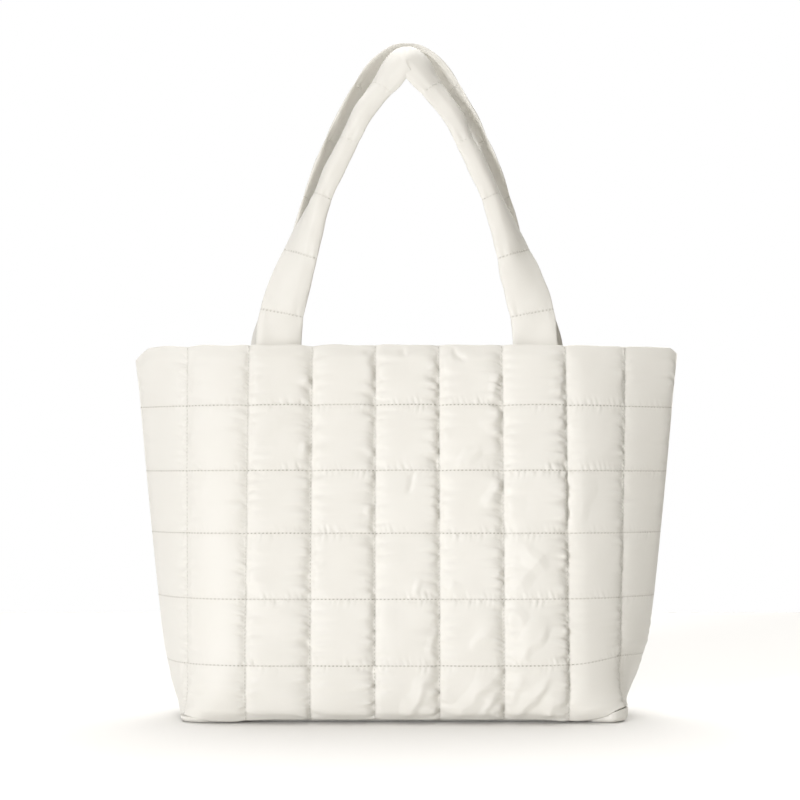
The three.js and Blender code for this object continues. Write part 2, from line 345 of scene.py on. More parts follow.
# Cloth simulation of one flat quilted panel, in squares; returns its points as a grid.
def simulateQuilt(seed):
    rng = np.random.default_rng(seed)
    steps = quilting["steps"]
    across, down, rowShare = quiltGrid()
    rows, columns = across.shape
    onColumn = (np.arange(columns) % steps == 0)[None, :] & (across > -1)
    onRow = (np.arange(rows) % steps == 0)[:, None] & (across > -1)
    # pillow: the product of two flattened sine arches
    pillow = (np.abs(np.sin(np.pi * across)) * np.abs(np.sin(np.pi * rowShare))) ** quilting["flatness"]
    start = quilting["startCrown"] * quilting["crown"] * pillow
    start = start + uneven(rng, quilting["startRipple"], across, down)
    held = seamRise(across, np.round(rowShare))
    height = np.where(onColumn, 0, np.where(onRow, held, np.maximum(start, held * (1 - pillow))))
    points = np.stack([across, down, height], -1)
    mesh = bpy.data.meshes.new("quiltCut")
    mesh.from_pydata(points.reshape(-1, 3).tolist(), [], gridQuads(rows, columns)[:, ::-1].tolist())
    cutCloth = addObject("quiltCut", mesh)
    stitched = cutCloth.vertex_groups.new(name="stitched")
    stitched.add(np.flatnonzero((onColumn | onRow).ravel()).tolist(), 1.0, "REPLACE")
    cutCloth.shape_key_add(name="sewn")
    cutKey = cutCloth.shape_key_add(name="cut")
    cutHeight = np.maximum(quilting["crown"] * pillow, held * (1 - pillow))
    rest = np.stack([across * quilting["full"], down * quilting["full"], cutHeight], -1)
    for length, share in quilting["unevenWaves"]:
        rest[..., 0] += share * quilting["uneven"] * ripple(rng, across, down, length)
        rest[..., 1] += share * quilting["uneven"] * ripple(rng, across, down, length)
    cutKey.data.foreach_set("co", rest.ravel())
    sewing = cutCloth.modifiers.new("cloth", "CLOTH")
    for key, value in quilting["settings"].items():
        setattr(sewing.settings, key, value)
    sewing.settings.vertex_group_mass = "stitched"
    sewing.settings.rest_shape_key = cutKey
    sewing.settings.effector_weights.gravity = 0
    sewing.point_cache.frame_start = 1
    sewing.point_cache.frame_end = quilting["frames"] + 1
    for step in range(1, quilting["frames"] + 1):
        scene.frame_set(step)
    done = cutCloth.evaluated_get(bpy.context.evaluated_depsgraph_get())
    flat = np.empty(rows * columns * 3)
    done.data.vertices.foreach_get("co", flat)
    bpy.data.objects.remove(cutCloth)
    bpy.data.meshes.remove(mesh)
    scene.frame_set(1)
    return flat.reshape(rows, columns, 3)


# Creases: folds that are listed one by one, drawn on the front wall and mirrored on the back one
creases = {
    "tall": 0.0014,  # metres, for a height of 1 in the list
    "wobble": (0.022, 0.45),  # how far a crease strays, and over what length, in squares
    "fadeIn": (-0.15, 0.3),  # shares of its length
    "fadeOut": (1.15, 0.7),
    "seamReach": 0.003,  # metres from a seam at which it is at full height
    # column and row of both ends, widths of the slopes on both sides in squares, height
    "list": (
        (4.47, 5.97, 4.84, 5.14, 0.18, 0.12, 1.4),
        (5.27, 5.95, 5.84, 5.14, 0.23, 0.14, 1.7),
        (5.62, 5.86, 5.97, 5.41, 0.16, 0.10, 1.2),
        (6.16, 5.95, 6.68, 5.19, 0.23, 0.14, 1.9),
        (6.05, 5.66, 6.32, 5.24, 0.14, 0.10, 1.1),
        (6.60, 5.90, 6.94, 5.48, 0.16, 0.10, 1.2),
        (6.22, 4.94, 6.63, 4.35, 0.21, 0.14, 1.6),
        (6.33, 4.42, 6.05, 4.11, 0.11, 0.17, 0.8),
        (5.53, 4.77, 5.78, 4.43, 0.14, 0.10, 0.9),
        (6.10, 3.89, 6.76, 3.21, 0.23, 0.15, 1.6),
        (6.29, 3.18, 6.62, 3.58, 0.14, 0.17, 0.8),
        (4.55, 3.97, 4.68, 3.70, 0.08, 0.09, 0.8),
        (5.19, 3.97, 5.30, 3.77, 0.08, 0.09, 0.8),
        (4.58, 2.03, 4.52, 2.37, 0.08, 0.10, -1.1),
        (5.75, 2.59, 5.98, 2.22, 0.16, 0.10, 1.4),
        (7.31, 2.03, 7.12, 2.98, 0.18, 0.85, 1.6),
        (5.27, 1.98, 5.52, 1.68, 0.09, 0.10, 0.9),
        (5.44, 1.97, 5.62, 1.63, 0.09, 0.10, 0.8),
        (7.03, 1.95, 7.93, 1.43, 0.40, 0.37, 1.4),
        (5.28, 0.02, 5.36, 0.29, 0.07, 0.09, -1.4),
        (4.42, 0.02, 4.47, 0.19, 0.06, 0.09, -0.9),
        (3.92, 0.02, 3.89, 0.17, 0.06, 0.09, -0.8),
        (7.43, 0.95, 7.95, 0.34, 0.34, 0.34, 0.8),
        (0.98, 5.52, 1.43, 5.21, 0.23, 0.17, 0.8),
        (4.87, 4.86, 4.98, 4.35, 0.11, 0.07, 1.0),
        (3.85, 2.95, 3.97, 2.56, 0.11, 0.07, 1.0),
        (2.86, 1.92, 2.98, 1.54, 0.11, 0.07, 0.8),
        (5.86, 0.95, 5.97, 0.44, 0.14, 0.09, 1.0),
        (6.86, 0.92, 6.97, 0.24, 0.14, 0.09, 1.0),
        (5.75, 1.38, 5.95, 1.05, 0.18, 0.14, 1.1),
    ),
}


# Each crease is a tent along a line, with one slope to each side, fading at both ends. In metres
def creaseRelief(column, rowShare):
    total = np.zeros_like(column)
    wobble = uneven(np.random.default_rng(11), creases["wobble"], column, rowShare)
    for x0, y0, x1, y1, leftWide, rightWide, tall in creases["list"]:
        length = math.hypot(x1 - x0, y1 - y0)
        ahead = ((x1 - x0) / length, (y1 - y0) / length)
        along = ((column - x0) * ahead[0] + (rowShare - y0) * ahead[1]) / length
        aside = (rowShare - y0) * ahead[0] - (column - x0) * ahead[1] + wobble
        tent = 1 - np.where(aside < 0, -aside / leftWide, aside / rightWide)
        fade = ease(along, *creases["fadeIn"]) * ease(along, *creases["fadeOut"])
        total += creases["tall"] * tall * np.maximum(tent, 0) * fade
    return total


# Wall pieces: outer face, rolled rim and inner face as one closed padded piece
panel = {
    "fill": 0.55,
    "seamThick": 0.0022,
    "sideSeamThick": 0.0016,
    "sideSeamReach": 0.25,  # squares
    "rimDrop": 0.002,  # how far the outer face stops below the wall's height
    "rimRoll": 0.0012,  # height of the rolled edge above it
    "rimSteps": 6,
    "innerSteps": 4,  # rows of the inner face in a square
    "innerUneven": (0.00025, 0.04),  # height and length
    "puffMost": 0.0024,  # height at which the pillows flatten
    "columnShare": (0.3, 0.5, 0.9, 1.0, 1.0, 1.0, 1.0, 0.5, 0.35),  # puff of each column
    # puff left at the rim and at the lower edge, and the squares over which it comes back
    "rimShare": 0.55,
    "baseShare": 0.4,
    "shareReach": 0.2,
    # extra depth of the column seams, on their right and on their left, its reach and how round it is
    "columnDip": (0.0022, 0.0042),
    "dipReach": 0.0046,
    "dipRound": 1.4,
    # uneven reach of the dips in short and long waves: share, length, and how unlike two seams are
    "dipRagged": ((0.40, 0.010, 3.1), (0.30, 0.027, 2.3)),
    "dipLimits": (-0.55, 0.9),
    # soft folds inside the squares: height, length, slant, stretch, and distance from a seam
    "softFold": (0.00022, 0.024, 0.3, 0.6, 0.009),
    # ridge down one column: its place, its widths to the left and right in squares, its height
    "ridge": (7.25, 0.24, 0.75, 0.0020),
    "ridgeSoft": 0.12,
    "ridgeFade": 0.6,  # squares from the rim and from the lower edge
    # gathers beside column seams and row seams: height, length, reach
    "columnGathers": ((0.00045, 0.0044, 0.0018), (0.0006, 0.0085, 0.0026)),
    "rightGather": 0.2,  # gathers on the right of a column seam, as a share of those on its left
    "rowGather": (0.00034, 0.0044, 0.0015),
    "bothSides": 0.37,  # keeps the waves on the two sides of a seam apart
    "shadeAndGatherLopsided": 2.5,  # how much sooner the cloth's gathers and painted seam shade end on the right of a column seam
}
farFromSeam = 20.0  # mm, for places with no seam

# Waves and patches of the gathers: slant, how unlike two seams are, and the patches' length and strength
gathering = {
    "slant": 0.25,
    "waveApart": 3.7,
    "waveCount": 18,
    "patchApart": 2.9,
    "patchLength": 0.05,
    "patchCount": 8,
    "patchMiddle": 0.6,
    "patchSpread": 0.6,
    "patchMost": 1.6,
}


# Gathers beside seams: short waves along a seam, in patches, that die away with the distance d from it
def gathers(rng, shape, along, d, seam):
    tall, length, reach = shape
    d = np.abs(d) / reach
    slanted = along + gathering["slant"] * d * reach
    waves = ripple(rng, slanted, seam * gathering["waveApart"], length, gathering["waveCount"])
    patchSeam = seam * gathering["patchApart"]
    patches = ripple(rng, along, patchSeam, gathering["patchLength"], gathering["patchCount"])
    patches = gathering["patchMiddle"] + gathering["patchSpread"] * patches
    return tall * waves * np.clip(patches, 0, gathering["patchMost"]) * d * np.exp(1 - d)


# Thickness of a wall over its grid: the simulated pillows levelled off, with creases, dips along the column
# seams, soft folds and gathers, less at the outer columns, the rim and the base; then the seam and ridge
def panelThickness(rng, relief, side, seams):
    across, down, rowShare = quiltGrid()
    toColumn, toRow = seams["toColumn"], seams["toRow"]
    column = wall["columns"] - across if side > 0 else across
    puff = panel["puffMost"] * np.tanh(relief[..., 2] * pitch / panel["puffMost"])
    toSeam = np.minimum(np.abs(toColumn), np.abs(toRow))
    puff += creaseRelief(column, rowShare) * ease(toSeam, 0, creases["seamReach"])
    beside = seams["column"] + panel["bothSides"] * np.sign(toColumn)
    ragged = np.zeros_like(across)
    for share, length, apart in panel["dipRagged"]:
        ragged += share * ripple(rng, down * pitch, beside * apart, length)
    ragged = 1 + np.clip(ragged, *panel["dipLimits"])
    rightDip, leftDip = panel["columnDip"]
    dip = rightDip + (leftDip - rightDip) * (across - np.floor(across))
    puff += dip * (1 - np.exp(-((np.abs(toColumn) / panel["dipReach"] / ragged) ** panel["dipRound"])))
    foldTall, foldLength, slant, stretch, foldReach = panel["softFold"]
    folds = ripple(rng, across * pitch + slant * down * pitch, down * pitch * stretch, foldLength)
    puff += foldTall * folds * ease(toSeam, 0, foldReach)
    leftward = np.where(toColumn < 0, 1.0, panel["rightGather"])
    for shape in panel["columnGathers"]:
        puff += gathers(rng, shape, down * pitch, toColumn, beside) * seams["innerColumn"] * leftward
    besideRow = seams["row"] + panel["bothSides"] * np.sign(toRow)
    puff += gathers(rng, panel["rowGather"], across * pitch, toRow, besideRow) * seams["innerRow"]
    fromBase = rowEdges[-1] - down
    puff *= np.array(panel["columnShare"])[np.clip(across.astype(int), 0, wall["columns"] - 1)]
    for away, key in ((down, "rimShare"), (fromBase, "baseShare")):
        puff *= panel[key] + (1 - panel[key]) * ease(away, 0, panel["shareReach"])
    seamShare = ease(np.minimum(across, wall["columns"] - across), 0, panel["sideSeamReach"])
    seamThick = panel["sideSeamThick"] + (panel["seamThick"] - panel["sideSeamThick"]) * seamShare
    # ridge: the lower of two slopes, rounded where they meet
    place, leftWide, rightWide, tall = panel["ridge"]
    rise = (column - place + leftWide) / leftWide
    fall = (place + rightWide - column) / rightWide
    rounded = (rise + fall - np.sqrt((rise - fall) ** 2 + panel["ridgeSoft"])) / 2
    fade = ease(down, 0, panel["ridgeFade"]) * ease(fromBase, 0, panel["ridgeFade"])
    return seamThick + puff + tall * np.maximum(rounded, 0) * fade


# Triangles that close a wall along its left side seam: each inner step spans several outer steps
def sideCap(innerCount, outerStart, every):
    inner = innerCount - 1 - np.arange(innerCount)
    first = outerStart + np.arange(innerCount - 1) * every
    fans = [np.stack([inner[:-1], first + step, first + step + 1], -1) for step in range(every)]
    last = np.stack([inner[:-1], first + every, inner[1:]], -1)
    roll = innerCount - 1 + np.arange(1, panel["rimSteps"])
    rolledFan = np.stack([np.full(len(roll), innerCount - 1), roll, roll + 1], -1)
    return np.concatenate(fans + [last, rolledFan])


# A wall: its inner face, and the same face pushed out along its normal by the thickness, joined by the rim
def makePanel(name, node, side, seed, material):
    rng = np.random.default_rng(seed + 100)
    relief = simulateQuilt(seed)
    print("quilting of", name, "done")
    across, down, rowShare = quiltGrid()
    rows, columns = across.shape
    # nearest column seam and row seam, and the distances to them in metres
    seams = {"column": np.round(across), "row": np.round(rowShare)}
    seams["toColumn"] = (across - seams["column"]) * pitch
    seams["toRow"] = (down - rowEdges[seams["row"].astype(int)]) * pitch
    seams["innerColumn"] = (seams["column"] > 0) & (seams["column"] < wall["columns"])
    seams["innerRow"] = (seams["row"] > 0) & (seams["row"] < len(wall["rows"]))
    thick = panelThickness(rng, relief, side, seams)
    top = rimHeight - panel["rimDrop"]
    squeeze = top / rimHeight
    arc = (relief[..., 0] - wall["columns"] / 2) * pitch
    height = top - relief[..., 1] * pitch * squeeze
    flatArc = (across - wall["columns"] / 2) * pitch
    flatHeight = top - down * pitch * squeeze
    flatFace = wallPoints(flatArc, flatHeight, side)
    normal = gridNormals(flatFace)
    outer = wallPoints(arc, np.maximum(height, 0), side) + thick[..., None] * normal
    outer[..., 2] = np.maximum(outer[..., 2], wall["edgeClearance"])
    # inner face, from the base up to the rim
    every = quilting["steps"] // panel["innerSteps"]
    bumps = uneven(rng, panel["innerUneven"], flatArc, flatHeight)
    innerFace = (flatFace + bumps[..., None] * normal)[::-every]
    # rolled rim: half a turn from the inner face to the outer one
    turn = np.pi * np.arange(1, panel["rimSteps"])[:, None, None] / panel["rimSteps"]
    middle = (innerFace[-1] + outer[0]) / 2
    radius = np.linalg.norm(outer[0] - innerFace[-1], axis=-1)[:, None] / 2
    rolled = middle - radius * np.cos(turn) * normal[0]
    rolled[..., 2:] += panel["rimRoll"] * np.sin(turn)
    loop = np.concatenate([innerFace, rolled, outer])
    loopRows = len(loop)
    outerStart = loopRows - rows
    quads = gridQuads(loopRows, columns, loopRows=True)
    cap = sideCap(len(innerFace), outerStart, every)
    caps = np.concatenate([cap * columns, cap[:, ::-1] * columns + columns - 1])
    # cloth coordinates in metres: along the arc, and round the section from the inner base edge
    around = runLength(loop[:, columns // 2])
    around = np.append(around, around[-1] + panel["seamThick"])
    uvGrid = np.stack(np.meshgrid(flatArc[0], around), -1)
    uvIndex = gridQuads(loopRows + 1, columns)
    cornerUv = np.concatenate([
        uvGrid.reshape(-1, 2)[uvIndex.ravel()],
        uvGrid[:-1].reshape(-1, 2)[caps.ravel()],
    ])
    # distances to the seams in millimetres, for the cloth's painted stitch shade and gathers
    bare = np.full((outerStart, columns), farFromSeam)
    lopsided = np.maximum(-seams["toColumn"], panel["shadeAndGatherLopsided"] * seams["toColumn"]) * 1000
    toColumn = np.where(seams["innerColumn"], lopsided, farFromSeam)
    toRow = np.where(seams["innerRow"], np.abs(seams["toRow"]) * 1000, farFromSeam)
    marks = {"toColumn": np.concatenate([bare, toColumn]), "toRow": np.concatenate([bare, toRow])}
    piece = makePiece(name, loop, quads, caps, cornerUv, marks, material)
    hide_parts(node)
    print(name, "made,", len(quads) * 2 + len(caps), "triangles")
    return outer, normal


# Stitches: short threads along seams, each a four-sided bar with tapered ends
stitch = {
    "every": 0.0031,
    "length": 0.0023,
    "radius": 0.00022,
    "rise": 0.00012,
    "strapBold": 1.6,  # how much thicker the thread of the straps is
    # rings along a bar: place as a share of its length, thickness and rise as shares of the above
    "rings": ((-0.5, 0.35, -1.6), (-0.3, 1.0, 1.0), (0.3, 1.0, 1.0), (0.5, 0.35, -1.6)),
}


# Bars along one line of points: rings at four places along each bar, the end ones thinner and sunk
def stitchBars(line, normal, bold):
    along = runLength(line)
    count = int((along[-1] - stitch["every"]) / stitch["every"])
    middles = (np.arange(count) + 1) * stitch["every"]
    place, thin, sink = np.array(stitch["rings"]).T
    places = middles[:, None] + place * stitch["length"]
    centre = np.stack([np.interp(places, along, line[:, k]) for k in range(3)], -1)
    up = np.stack([np.interp(places, along, normal[:, k]) for k in range(3)], -1)
    ahead = unit(centre[:, -1:] - centre[:, :1])
    beside = np.cross(up, np.broadcast_to(ahead, up.shape))
    centre = centre + (sink * stitch["rise"])[:, None] * up
    turn = np.arange(4) * np.pi / 2 + np.pi / 4
    ring = np.cos(turn)[:, None] * beside[..., None, :] + np.sin(turn)[:, None] * up[..., None, :]
    return centre[..., None, :] + (thin * stitch["radius"] * bold)[:, None, None] * ring


# All the bars of one piece's seams as one mesh: four rings of four points each, closed at both ends
def makeStitches(name, lines, material, bold=1.0):
    bars = np.concatenate([stitchBars(line, normal, bold) for line, normal in lines])
    side = gridQuads(4, 4, loopColumns=True)
    ends = np.array([[0, 1, 2, 3], [15, 14, 13, 12]])
    shape = np.concatenate([side, ends])[:, ::-1]
    quads = shape[None] + 16 * np.arange(len(bars))[:, None, None]
    makePiece(name, bars, quads, material=material)
    print(name, "made,", len(bars), "stitches")


# Sets a node's inputs, each to a value or to another node's output
def setInputs(tree, node, inputs):
    for key, value in inputs.items():
        if isinstance(value, bpy.types.NodeSocket):
            tree.links.new(value, node.inputs[key])
        else:
            node.inputs[key].default_value = value


# A new node with its inputs set; an underscore stands for a space in their names
def addNode(tree, kind, **inputs):
    node = tree.nodes.new(kind)
    setInputs(tree, node, {key.replace("_", " "): value for key, value in inputs.items()})
    return node


# A sum on one to three values
def reckon(tree, operation, *values):
    node = tree.nodes.new("ShaderNodeMath")
    node.operation = operation
    setInputs(tree, node, dict(enumerate(values)))
    return node.outputs["Value"]


# Two colours mixed by a factor
def mixColours(tree, blend, factor, first, second):
    node = tree.nodes.new("ShaderNodeMix")
    node.data_type = "RGBA"
    node.blend_type = blend
    setInputs(tree, node, {"Factor": factor, "A": first, "B": second})
    return node.outputs["Result"]


# Ivory satin nylon, with painted shade in the stitch holes along the seams. Sizes of the weave, the painted
# stitch shade and gathers are in mm, depths in metres
cloth = {
    "finish": {"Roughness": 0.5, "Specular IOR Level": 0.35, "Sheen Weight": 0.15, "Sheen Roughness": 0.45},
    "light": (0.80, 0.784, 0.735, 1),
    "dark": (0.775, 0.754, 0.695, 1),
    "tone": {"Scale": 14.0, "Detail": 3.0},
    "weavePitch": 0.45,
    "weaveBump": {"Strength": 0.5, "Distance": 0.00003},
    "waveScale": 0.31416,  # at this scale the wave texture repeats every millimetre
    # painted shade along the seams: hole period, core and width of the shaded line, its strength and its
    # colour
    "stitchEvery": 3.1,
    "stitchCore": 0.25,
    "stitchWide": {"wallCloth": 0.55, "strapCloth": 1.0},
    "stitchShadeStrength": {"toColumn": 0.55, "toRow": 0.85},
    "stitchShade": (0.45, 0.43, 0.38, 1),
    "hole": (0.4, 0.6),  # swing and middle of the painted shade's strength, from hole to hole
    "holeDepth": 0.0003,
    # fine gathers beside seams: depth, reach, size along and across the seam
    "gathers": {"toColumn": (0.0017, 3.0, 3.0, 4.5), "toRow": (0.0007, 1.7, 2.6, 4.5)},
    "gatherNoise": {"Scale": 1.0, "Detail": 2.5},
}


# Faint tone change, fine weave, and gathers and painted shade of the stitch holes where the piece marks its
# seams
def ivoryCloth(name, sewn):
    material = bpy.data.materials.new(name)
    material.use_nodes = True
    tree = material.node_tree
    place = tree.nodes.new("ShaderNodeTexCoord")
    tone = addNode(tree, "ShaderNodeTexNoise", Vector=place.outputs["Object"], **cloth["tone"])
    colour = mixColours(tree, "MIX", tone.outputs["Fac"], cloth["light"], cloth["dark"])
    mapping = addNode(tree, "ShaderNodeMapping", Vector=place.outputs["UV"], Scale=(1000, 1000, 1000))
    millimetres = mapping.outputs["Vector"]
    waveScale = cloth["waveScale"] / cloth["weavePitch"]
    threads = []
    for direction in ("X", "Y"):
        wave = addNode(tree, "ShaderNodeTexWave", Vector=millimetres, Scale=waveScale)
        wave.bands_direction = direction
        threads.append(wave.outputs["Fac"])
    weave = reckon(tree, "MULTIPLY", *threads)
    bump = addNode(tree, "ShaderNodeBump", Height=weave, **cloth["weaveBump"])
    if sewn:
        split = addNode(tree, "ShaderNodeSeparateXYZ", Vector=millimetres)
        marks = []
        for mark, along in (("toColumn", "Y"), ("toRow", "X")):
            deep, reach, length, width = cloth["gathers"][mark]
            distance = tree.nodes.new("ShaderNodeAttribute")
            distance.attribute_name = mark
            gap = distance.outputs["Fac"]
            # fine gathers: noise drawn out away from the seam, dying away from it
            scale = (1 / length, 1 / width, 1) if along == "X" else (1 / width, 1 / length, 1)
            drawn = addNode(tree, "ShaderNodeMapping", Vector=millimetres, Scale=scale).outputs["Vector"]
            noise = addNode(tree, "ShaderNodeTexNoise", Vector=drawn, **cloth["gatherNoise"])
            near = reckon(tree, "EXPONENT", reckon(tree, "MULTIPLY", gap, -1 / reach))
            height = reckon(tree, "MULTIPLY", noise.outputs["Fac"], near)
            under = bump.outputs["Normal"]
            bump = addNode(tree, "ShaderNodeBump", Height=height, Strength=1.0, Distance=deep, Normal=under)
            # painted shade of the stitch holes: a thin darkened and sunk line along the seam, darker and
            # deeper at each needle hole
            phase = reckon(tree, "MULTIPLY", split.outputs[along], 2 * math.pi / cloth["stitchEvery"])
            hole = reckon(tree, "MULTIPLY_ADD", reckon(tree, "SINE", phase), *cloth["hole"])
            line = addNode(tree, "ShaderNodeMapRange", Value=gap, To_Min=1.0, To_Max=0.0)
            setInputs(tree, line, {"From Min": cloth["stitchCore"], "From Max": cloth["stitchWide"][name]})
            dark = reckon(tree, "MULTIPLY", line.outputs["Result"], cloth["stitchShadeStrength"][mark])
            marks.append(reckon(tree, "MULTIPLY", dark, hole))
        strongest = reckon(tree, "MAXIMUM", *marks)
        # painted shade: the cloth's colour darkened along the seams, most at the needle holes
        colour = mixColours(tree, "MULTIPLY", strongest, colour, cloth["stitchShade"])
        sunk = {"Height": strongest, "Distance": cloth["holeDepth"], "Normal": bump.outputs["Normal"]}
        bump = addNode(tree, "ShaderNodeBump", Strength=1.0, **sunk)
        bump.invert = True
    shader = tree.nodes["Principled BSDF"]
    setInputs(tree, shader, cloth["finish"])
    setInputs(tree, shader, {"Base Color": colour, "Normal": bump.outputs["Normal"]})
    return material


wallCloth = ivoryCloth("wallCloth", True)
strapCloth = ivoryCloth("strapCloth", True)
baseCloth = ivoryCloth("baseCloth", False)
thread = ivoryCloth("thread", False)
print("materials made")

frontOuter, frontNormal = makePanel("frontWall", "front_panel", -1, 7, wallCloth)
backOuter, backNormal = makePanel("backWall", "back_panel", 1, 19, wallCloth)


# Seam lines of a wall: five row seams and eight column seams
def seamLines(outer, normal):
    steps = quilting["steps"]
    rowsAt = [k * steps for k in range(1, len(wall["rows"]))]
    columnsAt = [k * steps for k in range(1, wall["columns"])]
    across = [(outer[k], normal[k]) for k in rowsAt]
    down = [(outer[:, k], normal[:, k]) for k in columnsAt]
    return across + down


makeStitches("frontStitches", seamLines(frontOuter, frontNormal), thread)
makeStitches("backStitches", seamLines(backOuter, backNormal), thread)

# Base: a flat padded sheet inside the walls' lower edges
base = {
    "fill": 0.7,
    "thick": 0.008,
    "clearance": 0.0012,
    "edgeRound": 0.0035,
    "underRound": 0.014,
    "crown": 0.0012,
    "topUneven": (0.0003, 0.05),  # height and length
    # lip under the walls' lifted corners: where it starts in squares, how far it comes out, its rounding
    # and unevenness, the gap to the wall, the room it needs below it, and where the top turns up to it
    "lipSpan": (2.6, 3.2),
    "lipOut": 0.0018,
    "lipRound": 0.006,
    "lipUneven": (0.0004, 0.016),
    "lipGap": 0.0002,
    "lipRoom": (0.0001, 0.0003),
    "turnUp": (0.85, 1),
    "rings": 26,
    "edgeSteps": 21,
    "sideSteps": 240,
}


# Rings of the wall line at the floor, drawn in to the middle, with the section rounded at the edge.
# Under the lifted corners the section comes out to the wall's outer face and rises to its lower edge
def makeBase():
    arc = np.linspace(-halfWidth, halfWidth, base["sideSteps"] + 1)[:-1]
    floor = np.zeros_like(arc)
    leftTurn, rightTurn = [wallTurn(np.abs(arc), floor, hand) for hand in (0, 1)]
    frontTurn = np.where(arc > 0, rightTurn, -leftTurn)
    backTurn = np.where(arc > 0, leftTurn, -rightTurn)
    turn = np.concatenate([frontTurn, backTurn])
    facing = np.repeat([-1, 1], len(arc))
    outward = np.stack([-facing * np.sin(turn), facing * np.cos(turn)], -1)
    outline = np.concatenate([wallPoints(arc, floor, side)[:, :2] for side in (-1, 1)])
    edge = np.concatenate([wallRise(arc, floor, side) for side in (-1, 1)])
    flush = towardsSides(np.tile(arc, 2), base["lipSpan"])
    lipTop = base["thick"] + flush * np.maximum(edge - base["lipGap"] - base["thick"], 0)
    angle = np.linspace(-np.pi / 2, np.pi / 2, base["edgeSteps"])[:, None]
    edgeHeight = lipTop * (1 + np.sin(angle)) / 2
    under = base["underRound"] * (1 - flush) + base["edgeRound"] * flush
    inset = base["clearance"] + np.where(angle < 0, under, base["edgeRound"]) * (1 - np.cos(angle))
    lip = np.where(angle < 0, base["lipRound"], 0) * (1 - np.cos(angle)) - base["lipOut"]
    lip = lip + uneven(np.random.default_rng(9), base["lipUneven"], outline[:, 0], outline[:, 1])
    outside = flush * ease(edge - edgeHeight, *base["lipRoom"])
    inset = inset + (lip - inset) * outside
    shares = np.linspace(0, 1, base["rings"])[1:-1]
    rim = outline[None] - inset[..., None] * outward[None]
    bottom = rim[0][None] * shares[:, None, None]
    top = rim[-1][None] * shares[::-1, None, None]
    flat = np.concatenate([bottom, rim, top])
    crown = base["crown"] * (1 - shares[::-1, None] ** 2)
    turnedUp = (lipTop - base["thick"]) * ease(shares[::-1, None], *base["turnUp"])
    height = np.concatenate([np.zeros_like(bottom[..., 0]), edgeHeight, base["thick"] + crown + turnedUp])
    topRows = np.arange(len(flat)) >= len(shares) + len(angle) - 1
    bumps = uneven(np.random.default_rng(5), base["topUneven"], flat[..., 0], flat[..., 1])
    height += topRows[:, None] * bumps
    points = np.concatenate([flat, height[..., None]], -1)
    rings, around = points.shape[:2]
    quads = gridQuads(rings, around, loopColumns=True)[:, ::-1]
    tris = endFans(rings, around)
    centres = np.array([[0, 0, 0], [0, 0, base["thick"] + base["crown"]]])
    allPoints = np.concatenate([points.reshape(-1, 3), centres])
    corners = np.concatenate([quads.ravel(), tris.ravel()])
    cornerUv = allPoints[corners][:, :2]
    piece = makePiece("basePad", allPoints, quads, tris, cornerUv, None, baseCloth)
    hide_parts("base_panel")
    print("basePad made,", len(quads) * 2 + len(tris), "triangles")


makeBase()

# Straps: padded bands, flat at the rim; the front one folds lengthwise and the back one turns edge-on
strap = {
    "fill": 0.5,
    "width": 0.037,
    "puff": 0.0054,
    "puffFlatness": 0.6,
    "seam": 0.0026,
    "tailThick": 0.003,
    "tail": 0.024,
    "tailClearance": 0.0011,
    "meet": 0.135,  # height above the rim at which the two straps have come together
    "foldSoft": 0.11,
    "foldThin": 0.45,  # how far the padding is pressed at a fold of the full angle
    "foldThinReach": 0.16,
    "fullFold": 45.0,  # degrees
    "crownLength": 0.080,
    "firstCross": 0.027,  # from the rim, along the strap, to the first cross stitch
    "noCross": 0.01,  # no cross stitch is nearer to the rim than this
    "squareness": 0.5,
    "shadeAndGatherFade": (0.08, 0.19, 0.6),  # lengths from the rim between which the painted stitch shade and the gathers fade, and how far, mm
    "pinch": (0.03, 0.006),  # narrowing of the band at a cross stitch, and its reach
    "edgeWave": (0.012, 0.03),  # share of the width, and length
    # gathers beside the cross stitches, and unevenness along the padding: height and length
    "gather": (0.0003, 0.006),
    "uneven": (0.0003, 0.025),
    "step": 0.0014,
    "around": 56,
    "stitchInset": 5,  # grid steps between a cross stitch and the edge
}
frontStrapLine = {
    "side": -1,
    "crownDepth": 0.020,
    "turnFrom": 0.0,  # lengths from the rim between which a leg turns and folds
    "turnTo": 0.155,
    "fold": 0.22,  # from -1 at the outer edge to 1 at the inner one
    "twist": (50.0, 33.0),  # on a leg and at the crown, degrees
    "foldAngle": (45.0, 26.0),
    # distance from the middle, and height above the rim
    "line": (
        (0.104, 0), (0.102, 0.024), (0.0925, 0.059), (0.0775, 0.101),
        (0.056, 0.147), (0.031, 0.197), (0.016, 0.218), (0, 0.236),
    ),
}
backStrapLine = {
    "side": 1,
    "crownDepth": 0.0195,
    "turnFrom": 0.0,
    "turnTo": 0.100,
    "fold": 0.0,
    "twist": (70.0, 60.0),
    "foldAngle": (0.0, 0.0),
    "line": (
        (0.113, 0), (0.1065, 0.024), (0.0975, 0.059), (0.086, 0.101),
        (0.0715, 0.147), (0.0485, 0.197), (0.0255, 0.231), (0.0085, 0.243), (0, 0.244),
    ),
}


